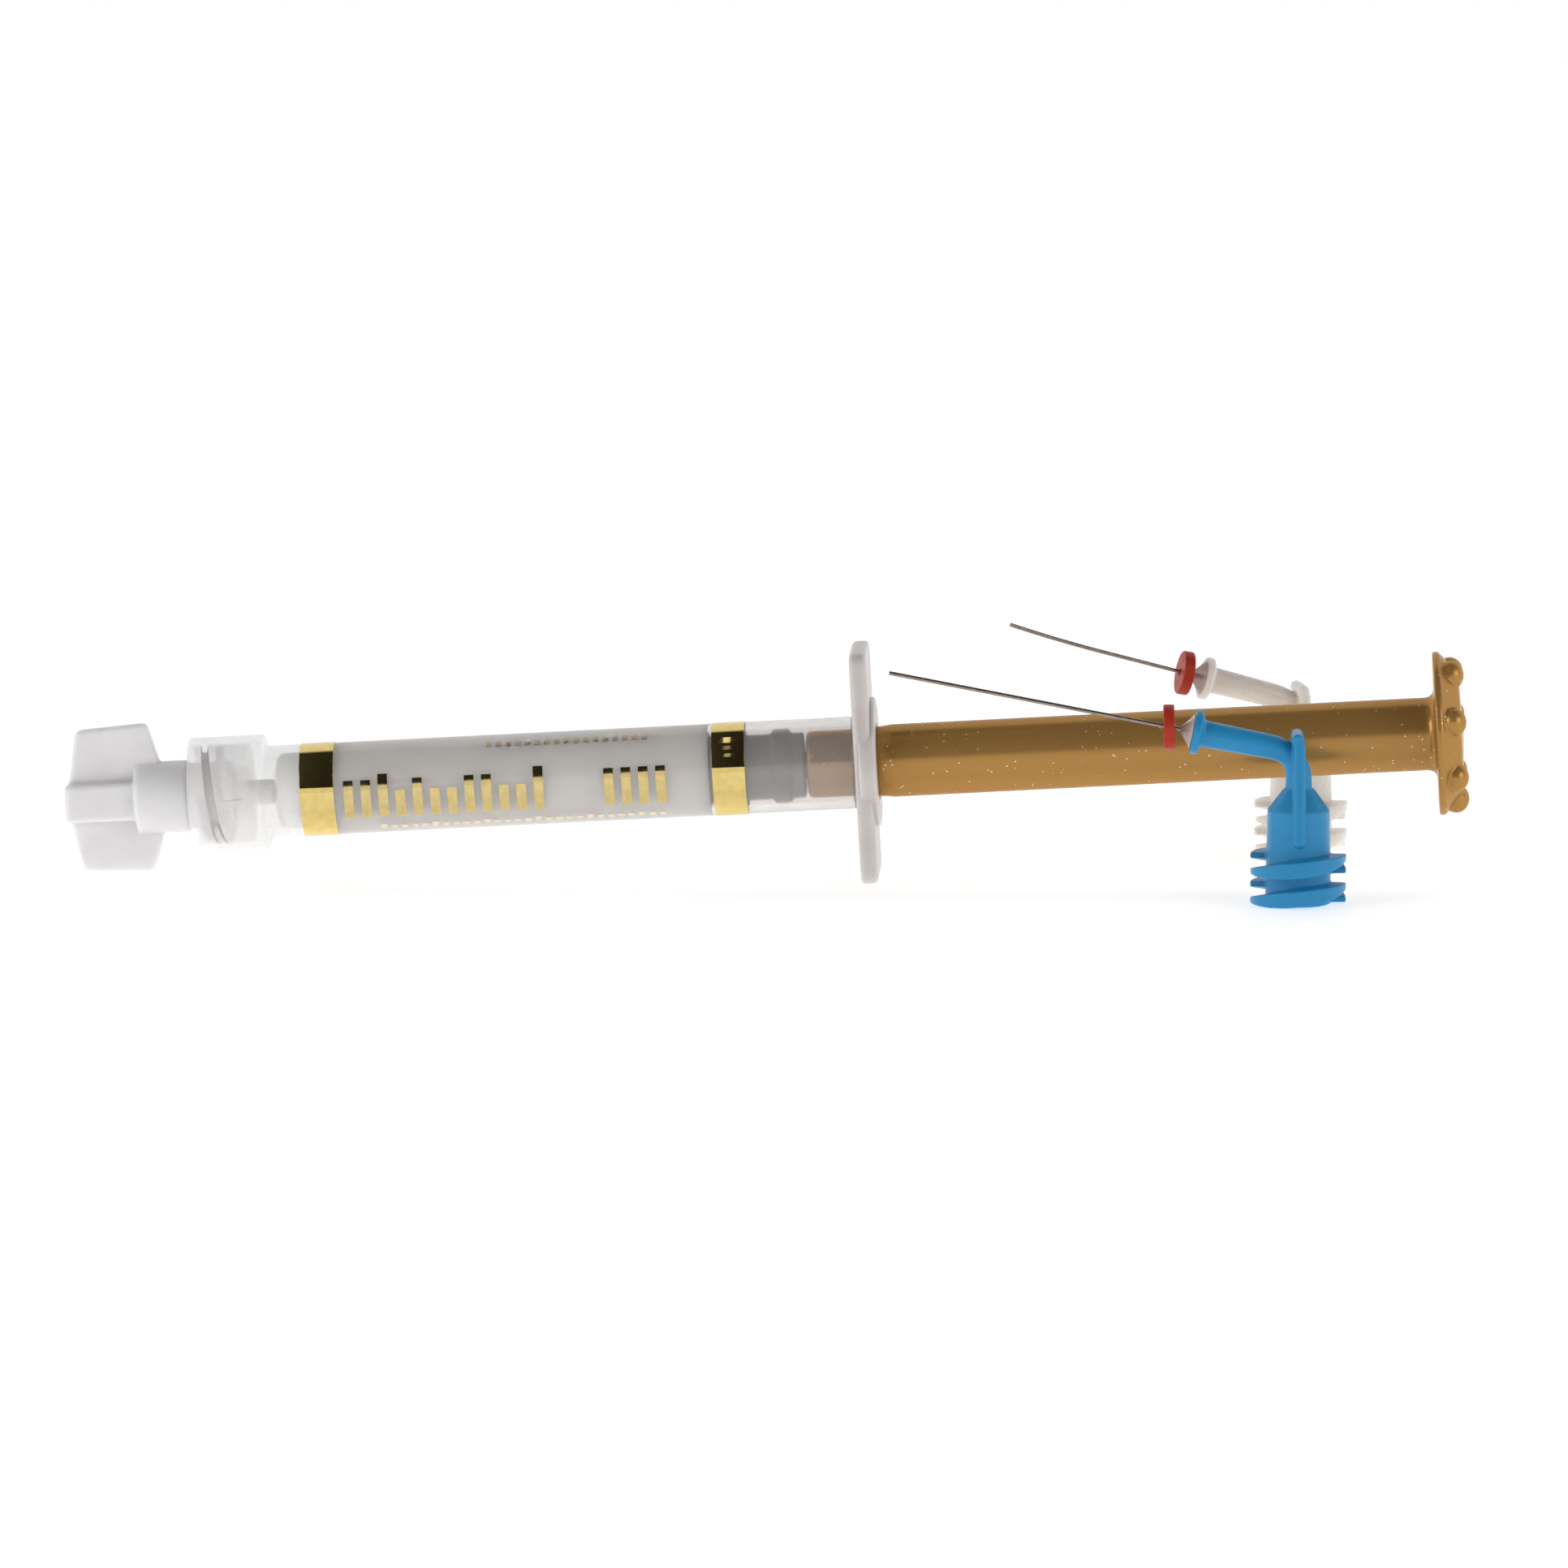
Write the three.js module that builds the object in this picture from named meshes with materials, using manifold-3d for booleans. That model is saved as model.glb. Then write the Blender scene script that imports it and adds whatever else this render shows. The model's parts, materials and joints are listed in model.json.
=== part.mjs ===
// Prefilled dental paste syringe with two bent delivery tips, in millimetres, +Z up.
// The syringe lies on the table on its cap's wing and its finger flange; the tips stand on their hubs.
import * as THREE from 'three';
import { mergeVertices } from 'three/addons/utils/BufferGeometryUtils.js';
import Module from 'manifold-3d';

const wasm = await Module();
wasm.setup();

// ---------------------------------------------------------------- driving dimensions
const SIDES = 32;                 // facets round every turned part of the syringe
const TIP_SIDES = 24;             // facets round a delivery tip's hub
const FIT = 0.05;                 // radial clearance where one part seats in another
const FINEST = 0.003;             // edges shorter than this are closed up after a cut or a join

const LEAD = 2.5;                 // advance of every Luer thread in one turn
const LUER_TAPER = 0.03;          // radius gained for each millimetre along a Luer cone
const LUER_TIP_R = 1.985;         // male cone at its mouth
const LUG_R = 3.9;                // outside of the thread lugs on cap and hubs

// places along the syringe's axis, from the cap's outer end
const CAP = {
  wingStart: 1.04, wingEnd: 6.95, wingOuter: 6.2, wingRoot: 7.85, wingThick: 1.5,
  spineEnd: 5.44, spineHigh: 3.1, spineDeep: 4.4,
  stemR: 2.95, stemEnd: 10.1, sleeveR: 2.7, mouth: 13.9, socketFloor: 7.0,
  threadStart: 11.0,
};
const COLLAR = { start: 10.4, end: 16.6, outerR: 4.75, innerR: 4.08, floor: 15.3, crestR: 3.5 };
const NOZZLE = { tip: 8.4, boreR: 1.0, boreEnd: 17.2 };
const BARREL = { outerR: 3.785, boreR: 3.09, floor: 17.6, end: 66.6 };
const FLANGE = { start: 65.2, half: 9.55, deep: 9.4, corner: 0.8, bossR: 5.3, bossEnd: 67.0, fillet: 0.6 };
const BAND = { gap: 0.02, thick: 0.06, frontStart: 19.6, frontEnd: 22.4, rearStart: 53.5, rearEnd: 56.2 };
const STOPPER = {
  front: 52.2, back: 61.0, bodyR: 2.675, ribR: 3.06, ribSlope: 0.4,
  frontRib: 53.6, frontRibEnd: 54.6, rearRib: 58.6, rearRibEnd: 59.7,
};
const ROD = {
  front: 61.2, noseR: 2.75, noseEnd: 66.2, coneEnd: 68.2, rodR: 2.985,
  neckR: 1.1, knobR: 1.7, knobLength: 1.6, neckLength: 1.4,
};
const PAD = {
  start: 112.7, radius: 6.7, rim: 0.55, fillet: 1.2, domeR: 4.6, domeRise: 0.3, domeEnd: 115.0,
  bumps: 7, firstBump: 17.6, bumpEnd: 115.2, bumpRing: 5.4, bumpR: 1.2, bumpFlat: 0.9,
};

// delivery tips, standing on the table
const HUB = {
  footR: 2.675, shoulderR: 2.53, bodyTop: 7.65, neckTop: 9.4, neckR: 1.2,
  socketDepth: 7.2, mouthR: 2.2, ridgeThick: 1.35, firstRidge: 0.15, ridgePairs: 2, ridgeStep: 2.35,
};
const FIN = { bottom: 4.9, top: 14.05, half: 3.1, topHalf: 1.7, thick: 1.0 };
const ARM = {
  height: 12.35, radius: 1.08, length: 8.2, bend: 2.4, discR: 1.785, discThick: 0.55, channelR: 0.45,
};
const CONE = { baseR: 1.5, noseR: 0.28, length: 1.0 };
const CANNULA = { radius: 0.165, boreR: 0.08, sunk: 2.5, gap: 0.05, straight: 9, step: 0.6 };
const STOP = { radius: 1.825, thick: 0.9, holeR: 0.3, edge: 0.12 };

// where things stand on the table
const TILT = Math.atan((FLANGE.half - CAP.wingOuter) / (FLANGE.start - CAP.wingEnd));
const AXIS_HEIGHT = CAP.wingOuter * Math.cos(TILT) - CAP.wingEnd * Math.sin(TILT);
const TIPS = [
  {
    name: 'blue', x: 101.3, y: -11.0, yaw: 1, rise: 10.8, needle: 25, curl: 0,
    stopAhead: 1.5, stopLean: 12, colour: 0x3a91c6,
  },
  {
    name: 'white', x: 101.6, y: 15.8, yaw: 12, rise: 15.5, needle: 17, curl: 4,
    stopAhead: 1.1, stopLean: 4, colour: 0xe4e6e4,
  },
];

const degrees = (angle) => THREE.MathUtils.degToRad(angle);

// ---------------------------------------------------------------- shape helpers

// A closed mesh of any geometry, ready for joining and cutting.
function solid(geometry) {
  const plain = geometry.index ? geometry.toNonIndexed() : geometry.clone();
  plain.deleteAttribute('normal');
  plain.deleteAttribute('uv');
  const merged = mergeVertices(plain, 1e-4);
  const corners = merged.index.array;
  const kept = [];
  for (let i = 0; i < corners.length; i += 3) {
    const [a, b, c] = [corners[i], corners[i + 1], corners[i + 2]];
    if (a !== b && b !== c && c !== a) kept.push(a, b, c);
  }
  const vertProperties = new Float32Array(merged.attributes.position.array);
  return new wasm.Manifold(new wasm.Mesh({ numProp: 3, vertProperties, triVerts: new Uint32Array(kept) }));
}

function geometryOf(manifold) {
  const mesh = manifold.simplify(FINEST).getMesh();
  const geometry = new THREE.BufferGeometry();
  geometry.setAttribute('position', new THREE.BufferAttribute(mesh.vertProperties, 3));
  geometry.setIndex(new THREE.BufferAttribute(mesh.triVerts, 1));
  geometry.computeVertexNormals();
  return geometry;
}

function join(first, ...others) {
  return others.reduce((sum, geometry) => sum.add(solid(geometry)), solid(first));
}

// Turns [radius, height] points round the Y axis.
function turned(points, sides = SIDES) {
  return new THREE.LatheGeometry(points.map(([r, y]) => new THREE.Vector2(r, y)), sides);
}

function rod(radius, from, to, sides = SIDES) {
  return turned([[0, from], [radius, from], [radius, to], [0, to]], sides);
}

// Points between the ends of a hollow quarter round that widens a turned part up to a flat face.
function fillet(from, to, steps) {
  const points = [];
  for (let i = 1; i < steps; i += 1) {
    const turn = (i / steps) * Math.PI / 2;
    const [outwards, along] = [1 - Math.cos(turn), Math.sin(turn)];
    points.push([from[0] + (to[0] - from[0]) * outwards, from[1] + (to[1] - from[1]) * along]);
  }
  return points;
}

// A flat outline of [across, along] points, extruded by its thickness about the middle.
function plate(points, thick, bevel = 0) {
  const shape = new THREE.Shape(points.map(([x, y]) => new THREE.Vector2(x, y)));
  const geometry = new THREE.ExtrudeGeometry(shape, {
    depth: thick - 2 * bevel, bevelEnabled: bevel > 0, bevelThickness: bevel, bevelSize: bevel,
    bevelOffset: -bevel, bevelSegments: 2,
  });
  return geometry.translate(0, 0, bevel - thick / 2);
}

// A box bent into one stretch of a right-hand thread, whose crest swells from a share of its thickness and
// back. Its crest lies outside its root, or inside it on a nut.
function threadRidge({ rootR, crestR, root, crest, start, from, turns, steps = 12, tip = 0.15 }) {
  const box = new THREE.BoxGeometry(1, 1, 1, 1, 1, steps);
  const place = box.attributes.position;
  const handed = crestR > rootR ? -1 : 1;
  for (let i = 0; i < place.count; i += 1) {
    const share = 0.5 + handed * place.getZ(i);
    const angle = from + share * turns * 2 * Math.PI;
    const swell = tip + (1 - tip) * Math.sin(Math.PI * share);
    const atCrest = place.getX(i) > 0;
    const radius = atCrest ? crestR : rootR;
    const high = atCrest ? crest * swell : Math.max(root, crest * swell + 0.2);
    const y = start + share * turns * LEAD + place.getY(i) * high;
    place.setXYZ(i, radius * Math.sin(angle), y, radius * Math.cos(angle));
  }
  return box;
}

function part(name, geometry, colour, roughness, metalness = 0) {
  const material = new THREE.MeshStandardMaterial({ color: colour, roughness, metalness });
  const mesh = new THREE.Mesh(geometry, material);
  mesh.name = name;
  return mesh;
}

// ---------------------------------------------------------------- syringe, turned round the Y axis

const luerR = (distance) => LUER_TIP_R + LUER_TAPER * distance;

function makeCap() {
  const lowCorner = CAP.wingOuter - (CAP.wingEnd - CAP.wingStart) * Math.tan(TILT);
  const round = 0.5;
  const oneSide = [
    [CAP.spineHigh / 2, 0.25],
    [lowCorner - round, CAP.wingStart],
    [lowCorner - 0.1, CAP.wingStart + round * 0.4],
    [lowCorner + 0.02, CAP.wingStart + round],
    [CAP.wingOuter - 0.02, CAP.wingEnd - round],
    [CAP.wingOuter - 0.2, CAP.wingEnd - 0.1],
    [CAP.wingOuter - round, CAP.wingEnd],
    [CAP.stemR, CAP.wingRoot],
  ];
  const otherSide = oneSide.map(([v, u]) => [-v, u]).reverse();
  const wings = plate([...oneSide, ...otherSide], CAP.wingThick, 0.25);
  const spineHalf = CAP.spineHigh / 2;
  const spine = plate([
    [-spineHalf, 0.15], [-spineHalf + 0.3, 0], [spineHalf - 0.3, 0],
    [spineHalf, 0.15], [spineHalf, CAP.spineEnd + 1], [-spineHalf, CAP.spineEnd + 1],
  ], CAP.spineDeep, 0.3);
  for (const flat of [wings, spine]) flat.rotateY(Math.PI / 2);
  const stem = turned([
    [0, CAP.spineEnd], [CAP.stemR - 0.3, CAP.spineEnd], [CAP.stemR, CAP.spineEnd + 0.3],
    [CAP.stemR, CAP.stemEnd - 0.2], [CAP.sleeveR, CAP.stemEnd], [CAP.sleeveR, CAP.mouth], [0, CAP.mouth],
  ]);
  const lug = threadRidge({
    rootR: CAP.sleeveR - 0.3, crestR: LUG_R, root: 1.1, crest: 0.9,
    start: CAP.threadStart, from: Math.PI, turns: 1, steps: 24, tip: 0.4,
  });
  const socket = turned([
    [0, CAP.socketFloor], [luerR(CAP.socketFloor - NOZZLE.tip) + FIT, CAP.socketFloor],
    [luerR(CAP.mouth + 1 - NOZZLE.tip) + FIT, CAP.mouth + 1], [0, CAP.mouth + 1],
  ]);
  return geometryOf(join(stem, wings, spine, lug).subtract(solid(socket)));
}

function makeCapPaste() {
  const gap = 0.1;
  return rod(luerR(CAP.socketFloor - NOZZLE.tip) - gap / 2, CAP.socketFloor + gap, NOZZLE.tip - gap);
}

function makeBarrel() {
  const rootR = BARREL.outerR + FLANGE.fillet;
  const tube = turned([
    [NOZZLE.boreR, NOZZLE.tip],
    [LUER_TIP_R, NOZZLE.tip],
    [luerR(COLLAR.floor - NOZZLE.tip), COLLAR.floor],
    [COLLAR.innerR, COLLAR.floor],
    [COLLAR.innerR, COLLAR.start],
    [COLLAR.outerR - 0.2, COLLAR.start],
    [COLLAR.outerR, COLLAR.start + 0.2],
    [COLLAR.outerR, COLLAR.end - 0.25],
    [COLLAR.outerR - 0.25, COLLAR.end],
    [BARREL.outerR, COLLAR.end],
    [BARREL.outerR, FLANGE.start - FLANGE.fillet],
    ...fillet([BARREL.outerR, FLANGE.start - FLANGE.fillet], [rootR, FLANGE.start], 3),
    [rootR, FLANGE.start],
    [rootR, FLANGE.start + 0.4],
    [FLANGE.bossR, FLANGE.start + 0.4],
    [FLANGE.bossR, FLANGE.bossEnd],
    [BARREL.boreR + 0.3, FLANGE.bossEnd],
    [BARREL.boreR, FLANGE.bossEnd - 0.3],
    [BARREL.boreR, BARREL.floor + 0.3],
    [BARREL.boreR - 0.3, BARREL.floor - 0.1],
    [NOZZLE.boreR, NOZZLE.boreEnd],
    [NOZZLE.boreR, NOZZLE.tip],
  ]);
  const half = FLANGE.half;
  const side = FLANGE.deep / 2;
  const c = FLANGE.corner;
  const thick = BARREL.end - FLANGE.start;
  const corner = (across, along) => {
    const [atSide, atEnd] = [across * side, along * half];
    const points = [
      [atSide - across * c, atEnd],
      [atSide - across * c * 0.3, atEnd - along * c * 0.3],
      [atSide, atEnd - along * c],
    ];
    return across * along > 0 ? points.reverse() : points;
  };
  const flange = plate([...corner(1, -1), ...corner(1, 1), ...corner(-1, 1), ...corner(-1, -1)], thick);
  flange.rotateX(-Math.PI / 2).translate(0, (FLANGE.start + BARREL.end) / 2, 0);
  const flangeBore = rod((BARREL.outerR + BARREL.boreR) / 2, FLANGE.start - 1, BARREL.end + 1);
  const ridge = threadRidge({
    rootR: COLLAR.innerR + 0.25, crestR: COLLAR.crestR, root: 1.0, crest: 0.8,
    start: CAP.threadStart - LEAD / 2 + 0.6 * LEAD, from: 2.2 * Math.PI, turns: 1.2, steps: 30, tip: 0.4,
  });
  const flangeRing = solid(flange).subtract(solid(flangeBore));
  return geometryOf(solid(tube).add(flangeRing).add(solid(ridge)));
}

function makePaste() {
  const gap = 0.06;
  return turned([
    [0, NOZZLE.tip + gap], [NOZZLE.boreR - gap, NOZZLE.tip + gap],
    [NOZZLE.boreR - gap, NOZZLE.boreEnd + gap],
    [BARREL.boreR - 0.3 - gap, BARREL.floor - 0.1 + gap * 2],
    [BARREL.boreR - gap, BARREL.floor + 0.3 + gap], [BARREL.boreR - gap, STOPPER.front - gap],
    [0, STOPPER.front - gap],
  ]);
}

function makeStopper() {
  const knobStart = ROD.front - ROD.neckLength - ROD.knobLength;
  const gap = 0.08;
  const rib = (from, to) => [
    [STOPPER.bodyR, from - STOPPER.ribSlope], [STOPPER.ribR, from],
    [STOPPER.ribR, to], [STOPPER.bodyR, to + STOPPER.ribSlope],
  ];
  return turned([
    [0, STOPPER.front], [STOPPER.bodyR - 0.4, STOPPER.front], [STOPPER.bodyR, STOPPER.front + 0.4],
    ...rib(STOPPER.frontRib, STOPPER.frontRibEnd), ...rib(STOPPER.rearRib, STOPPER.rearRibEnd),
    [STOPPER.bodyR, STOPPER.back - 0.2], [STOPPER.bodyR - 0.2, STOPPER.back],
    [ROD.neckR + gap, STOPPER.back], [ROD.neckR + gap, knobStart + ROD.knobLength + gap],
    [ROD.knobR + gap, knobStart + ROD.knobLength + gap], [ROD.knobR + gap, knobStart - gap],
    [0, knobStart - gap],
  ]);
}

function makePlunger() {
  const knobStart = ROD.front - ROD.neckLength - ROD.knobLength;
  const rimEnd = PAD.start + PAD.rim;
  const domeStart = PAD.domeEnd - PAD.domeRise;
  const dome = [[PAD.domeR, domeStart], [PAD.domeR * 0.6, domeStart + PAD.domeRise * 0.7]];
  const body = turned([
    [0, knobStart], [ROD.knobR - 0.3, knobStart], [ROD.knobR, knobStart + 0.3],
    [ROD.knobR, knobStart + ROD.knobLength], [ROD.neckR, knobStart + ROD.knobLength],
    [ROD.neckR, ROD.front], [ROD.noseR - 0.4, ROD.front], [ROD.noseR, ROD.front + 0.4],
    [ROD.noseR, ROD.noseEnd], [ROD.rodR, ROD.coneEnd], [ROD.rodR, PAD.start - PAD.fillet],
    ...fillet([ROD.rodR, PAD.start - PAD.fillet], [ROD.rodR + PAD.fillet, PAD.start], 4),
    [ROD.rodR + PAD.fillet, PAD.start], [PAD.radius - 0.1, PAD.start], [PAD.radius, PAD.start + 0.1],
    [PAD.radius, rimEnd], ...dome, [0, PAD.domeEnd],
  ]);
  const bumps = [];
  for (let i = 0; i < PAD.bumps; i += 1) {
    const angle = (i / PAD.bumps) * 2 * Math.PI + degrees(PAD.firstBump);
    const bump = new THREE.SphereGeometry(PAD.bumpR, 10, 6).scale(1, PAD.bumpFlat, 1);
    const [across, up] = [PAD.bumpRing * Math.cos(angle), PAD.bumpRing * Math.sin(angle)];
    bump.translate(across, PAD.bumpEnd - PAD.bumpR * PAD.bumpFlat, up);
    bumps.push(bump);
  }
  return geometryOf(join(body, ...bumps));
}

function makeBand(start, end) {
  const inner = BARREL.outerR + BAND.gap;
  const outer = inner + BAND.thick;
  return turned([[inner, start], [outer, start], [outer, end], [inner, end], [inner, start]]);
}

const alongAxis = new THREE.Group();
alongAxis.rotation.z = -Math.PI / 2;
alongAxis.add(
  part('cap', makeCap(), 0xeceeec, 0.5),
  part('cap_paste_plug', makeCapPaste(), 0xf4f0dc, 0.6),
  part('barrel', makeBarrel(), 0xdde2e0, 0.25),
  part('paste_charge', makePaste(), 0xf4f0dc, 0.6),
  part('plunger_stopper', makeStopper(), 0x96969b, 0.7),
  part('plunger_rod', makePlunger(), 0x9a7a40, 0.4, 0.3),
  part('foil_band_front', makeBand(BAND.frontStart, BAND.frontEnd), 0xd8b85a, 0.2, 1),
  part('foil_band_rear', makeBand(BAND.rearStart, BAND.rearEnd), 0xd8b85a, 0.2, 1),
);
const syringe = new THREE.Group();
syringe.rotation.y = -TILT;
syringe.position.z = AXIS_HEIGHT;
syringe.add(alongAxis);

// ---------------------------------------------------------------- delivery tips, turned round the Y axis

// The arm's centre line: up out of the neck, round the elbow and out along -X.
function armPath(rise) {
  const slope = degrees(rise);
  const crossing = new THREE.Vector3(0, ARM.height, 0);
  const outwards = new THREE.Vector3(-Math.cos(slope), Math.sin(slope), 0);
  const path = new THREE.CurvePath();
  const bendStart = new THREE.Vector3(0, ARM.height - ARM.bend, 0);
  const bendEnd = crossing.clone().addScaledVector(outwards, ARM.bend);
  path.add(new THREE.LineCurve3(new THREE.Vector3(0, HUB.socketDepth - 0.4, 0), bendStart));
  path.add(new THREE.QuadraticBezierCurve3(bendStart, crossing, bendEnd));
  path.add(new THREE.LineCurve3(bendEnd, crossing.clone().addScaledVector(outwards, ARM.length)));
  return path;
}

function tube(path, radius, sides, steps) {
  const outline = new THREE.Shape();
  outline.absarc(0, 0, radius, 0, 2 * Math.PI);
  return new THREE.ExtrudeGeometry(outline, { steps, curveSegments: sides, extrudePath: path });
}

// Stands a turned shape with its Y axis along a tip's arm, its zero at the arm's outer end.
function alongArm(geometry, rise) {
  const slope = degrees(rise);
  return geometry.rotateZ(Math.PI / 2 - slope).translate(
    -ARM.length * Math.cos(slope), ARM.height + ARM.length * Math.sin(slope), 0,
  );
}

function makeHub(tip) {
  const body = turned([
    [0, 0], [HUB.footR, 0], [HUB.shoulderR, HUB.bodyTop], [HUB.neckR, HUB.neckTop], [0, HUB.neckTop],
  ], TIP_SIDES);
  const arm = tube(armPath(tip.rise), ARM.radius, 6, 15);
  const disc = alongArm(turned([
    [0, -0.6], [ARM.radius, -0.6], [ARM.discR, 0], [ARM.discR, ARM.discThick], [0, ARM.discThick],
  ], 18), tip.rise);
  const finShape = [
    [-FIN.half, FIN.bottom + 0.5], [-FIN.half + 0.5, FIN.bottom], [FIN.half - 0.5, FIN.bottom],
    [FIN.half, FIN.bottom + 0.5], [FIN.topHalf, FIN.top - 0.6], [FIN.topHalf - 0.6, FIN.top],
    [-FIN.topHalf + 0.6, FIN.top], [-FIN.topHalf, FIN.top - 0.6],
  ];
  const fin = plate(finShape, FIN.thick, 0.2).rotateY(Math.PI / 2);
  const ridges = [];
  for (let pair = 0; pair < HUB.ridgePairs; pair += 1) {
    for (const side of [-0.5, 0.5]) {
      ridges.push(threadRidge({
        rootR: HUB.footR - 0.3, crestR: LUG_R, root: LEAD / 2, crest: HUB.ridgeThick,
        start: HUB.firstRidge + pair * HUB.ridgeStep, from: side * Math.PI, turns: 0.5,
      }));
    }
  }
  const socket = turned([
    [0, -1], [HUB.mouthR + LUER_TAPER, -1],
    [HUB.mouthR - LUER_TAPER * HUB.socketDepth, HUB.socketDepth], [0, HUB.socketDepth],
  ], TIP_SIDES);
  const below = new THREE.BoxGeometry(12, 4, 12).translate(0, -2, 0);
  const channel = tube(armPath(tip.rise), ARM.channelR, 4, 12);
  const needleHole = alongArm(rod(
    CANNULA.radius + CANNULA.gap, -CANNULA.sunk - CANNULA.gap, 2, 10), tip.rise);
  const whole = join(body, arm, disc, fin, ...ridges);
  const cuts = [socket, below, needleHole].reduce((left, cut) => left.subtract(solid(cut)), whole);
  const reach = solid(channel).subtract(solid(alongArm(rod(2, -CANNULA.sunk, 4, 12), tip.rise)));
  return geometryOf(cuts.subtract(reach));
}

function makeCone(tip) {
  const start = ARM.discThick + 0.05;
  const hole = CANNULA.radius + CANNULA.gap;
  return alongArm(turned([
    [hole, start], [CONE.baseR, start], [CONE.baseR * 0.85, start + 0.35],
    [CONE.noseR, start + CONE.length], [hole, start + CONE.length], [hole, start],
  ], 14), tip.rise);
}

// A straight stretch along the arm, then a slow upward curl.
function makeCannula(tip) {
  const length = tip.needle + ARM.discThick;
  const rings = [];
  for (let y = CANNULA.straight; tip.curl > 0 && y < length - CANNULA.step; y += CANNULA.step) {
    rings.push(y);
  }
  const pipe = turned([
    [CANNULA.boreR, -CANNULA.sunk], [CANNULA.radius, -CANNULA.sunk],
    ...rings.map((y) => [CANNULA.radius, y]),
    [CANNULA.radius, length], [CANNULA.boreR, length],
    ...rings.reverse().map((y) => [CANNULA.boreR, y]),
    [CANNULA.boreR, -CANNULA.sunk],
  ], 8);
  const place = pipe.attributes.position;
  const bendLength = length - CANNULA.straight;
  const turn = degrees(tip.curl);
  for (let i = 0; i < place.count && turn > 0; i += 1) {
    const past = Math.max(0, place.getY(i) - CANNULA.straight);
    const angle = turn * past / bendLength;
    const radius = bendLength / turn;
    const side = place.getX(i);
    const along = place.getY(i) - past + (radius - side) * Math.sin(angle);
    place.setXY(i, side + (radius - side) * (1 - Math.cos(angle)), along);
  }
  return alongArm(pipe, tip.rise);
}

// A soft disc that leans a little on its cannula.
function makeStop(tip) {
  const half = STOP.thick / 2;
  const disc = turned([
    [STOP.holeR, -half], [STOP.radius - STOP.edge, -half], [STOP.radius, -half + STOP.edge],
    [STOP.radius, half - STOP.edge], [STOP.radius - STOP.edge, half],
    [STOP.holeR, half], [STOP.holeR, -half],
  ], 18);
  disc.rotateZ(degrees(tip.stopLean)).translate(0, ARM.discThick + tip.stopAhead + half, 0);
  return alongArm(disc, tip.rise);
}

const tips = new THREE.Group();
for (const tip of TIPS) {
  const stand = new THREE.Group();
  stand.position.set(tip.x, tip.y, 0);
  stand.rotation.z = degrees(tip.yaw);
  const upright = new THREE.Group();
  upright.rotation.x = Math.PI / 2;
  upright.add(
    part(`${tip.name}_hub`, makeHub(tip), tip.colour, 0.4),
    part(`${tip.name}_nose_cone`, makeCone(tip), 0xe8ecec, 0.15),
    part(`${tip.name}_cannula`, makeCannula(tip), 0x8a8078, 0.3, 1),
    part(`${tip.name}_depth_stop`, makeStop(tip), 0xc23522, 0.6),
  );
  stand.add(upright);
  tips.add(stand);
}

// ---------------------------------------------------------------- whole, centred over its footprint

const whole = new THREE.Group();
whole.add(syringe, tips);
whole.updateMatrixWorld(true);
const bounds = new THREE.Box3().setFromObject(whole, true);
const centre = bounds.getCenter(new THREE.Vector3());
whole.position.set(-centre.x, -centre.y, -bounds.min.z);

export default whole;
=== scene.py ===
import json
import math

import bmesh
import bpy
from mathutils import Matrix, Vector


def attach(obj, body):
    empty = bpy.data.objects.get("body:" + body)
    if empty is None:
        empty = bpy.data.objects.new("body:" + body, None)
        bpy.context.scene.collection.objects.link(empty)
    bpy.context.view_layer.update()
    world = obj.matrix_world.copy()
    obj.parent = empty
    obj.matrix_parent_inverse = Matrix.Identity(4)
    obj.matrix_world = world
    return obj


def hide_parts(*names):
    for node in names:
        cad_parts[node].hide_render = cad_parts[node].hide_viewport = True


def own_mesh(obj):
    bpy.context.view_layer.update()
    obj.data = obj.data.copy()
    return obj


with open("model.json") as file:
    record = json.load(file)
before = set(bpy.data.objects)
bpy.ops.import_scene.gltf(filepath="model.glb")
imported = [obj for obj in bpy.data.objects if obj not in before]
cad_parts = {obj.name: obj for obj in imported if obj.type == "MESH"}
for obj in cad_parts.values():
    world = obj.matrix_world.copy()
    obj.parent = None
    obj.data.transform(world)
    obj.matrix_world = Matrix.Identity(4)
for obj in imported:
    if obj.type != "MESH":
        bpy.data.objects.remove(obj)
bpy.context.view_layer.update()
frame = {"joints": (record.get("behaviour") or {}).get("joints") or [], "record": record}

# Sizes are in millimetres. Places along the syringe are measured along its axis from the cap's outer end.
MM = 0.001
LEAD = 2.5
LUER_TAPER = 0.03
UNSCREW_POINT = 10      # where on the axis the record puts the cap's turning joint
FOOT_POINT_OUT = 2.45   # how far in front of a hub's own axis the record puts the point on its foot ring

CAP_WING_START, CAP_WING_END, CAP_WING_ROOT = 1.04, 6.95, 7.85
CAP_WING_OUTER, CAP_WING_OUTER_START, CAP_WING_THICK = 6.2, 5.86, 1.5
CAP_SPINE_END, CAP_SPINE_HIGH, CAP_SPINE_DEEP = 5.44, 3.1, 4.4
CAP_STEM_R, CAP_STEM_END, CAP_SLEEVE_R, CAP_MOUTH, CAP_SOCKET_FLOOR = 2.95, 10.1, 2.7, 13.9, 7.0
SOCKET_GAP, PLUG_GAP = 0.05, 0.03
COLLAR_START, COLLAR_END, COLLAR_R, COLLAR_INNER_R, COLLAR_FLOOR = 10.4, 16.6, 4.75, 4.08, 15.3
NOZZLE_TIP, NOZZLE_R, NOZZLE_BORE_R, NOZZLE_BORE_END = 8.4, 1.985, 1.0, 17.2
BARREL_R, BORE_R, BORE_FLOOR = 3.785, 3.09, 17.6
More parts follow.
